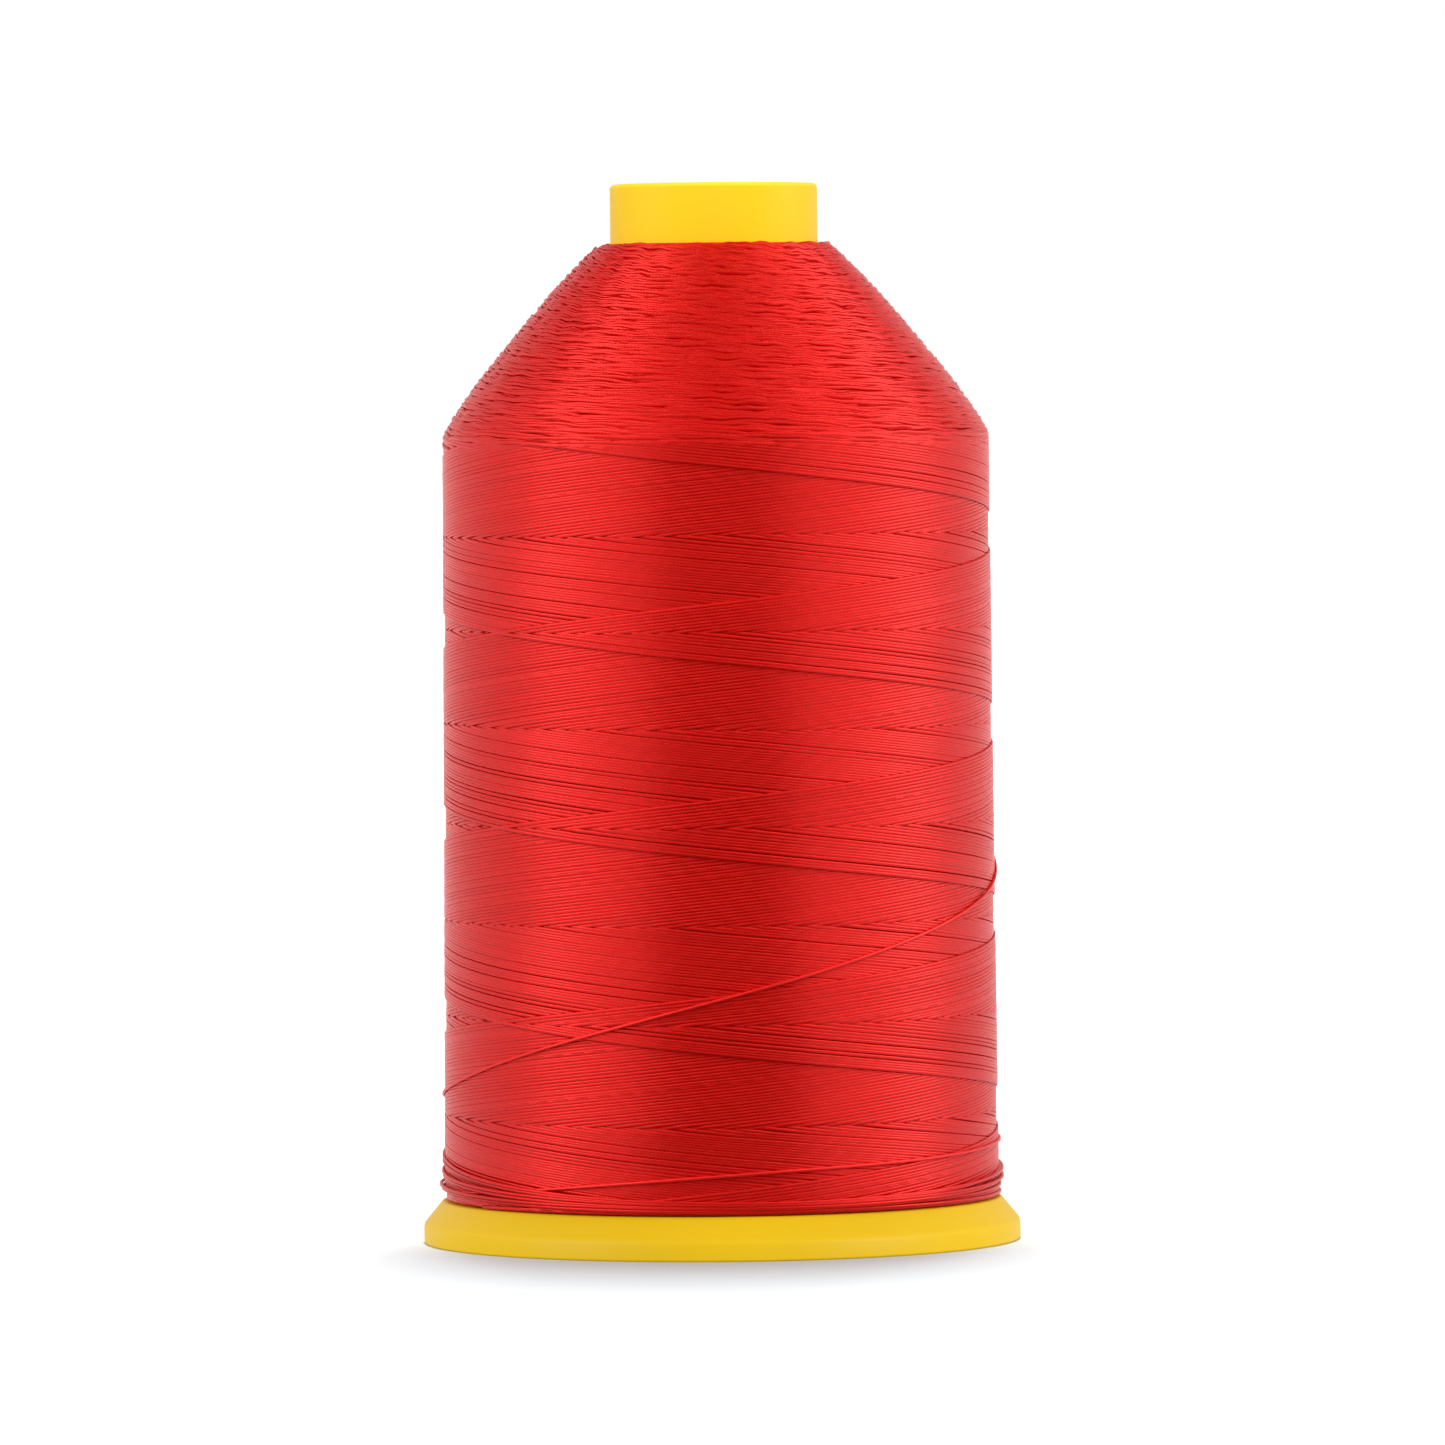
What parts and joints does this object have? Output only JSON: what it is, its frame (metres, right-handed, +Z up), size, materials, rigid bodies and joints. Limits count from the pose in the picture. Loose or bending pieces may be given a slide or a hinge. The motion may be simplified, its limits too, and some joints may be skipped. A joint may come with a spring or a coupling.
{
  "type": "spool of thread",
  "caption": "Long plastic tube on a bevelled foot, wound with a tall straight-sided package of red thread that tapers to a cone under the bare neck.",
  "frame": {"origin": "centre of the foot's underside, on the surface it stands on", "axes": "+Z up along the tube's axis; -Y faces the picture's camera; +X to its right"},
  "size_m": [0.0588, 0.0588, 0.104],
  "materials": {
    "yellow_plastic": "moulded, glossy",
    "red_thread": "bonded thread, soft sheen"
  },
  "bodies": {
    "root": {"foot_flange": "yellow_plastic", "barrel": "yellow_plastic", "thread_package": "red_thread", "thread_outer_winding": "red_thread", "thread_loose_end": "red_thread"}
  },
  "joints": []
}
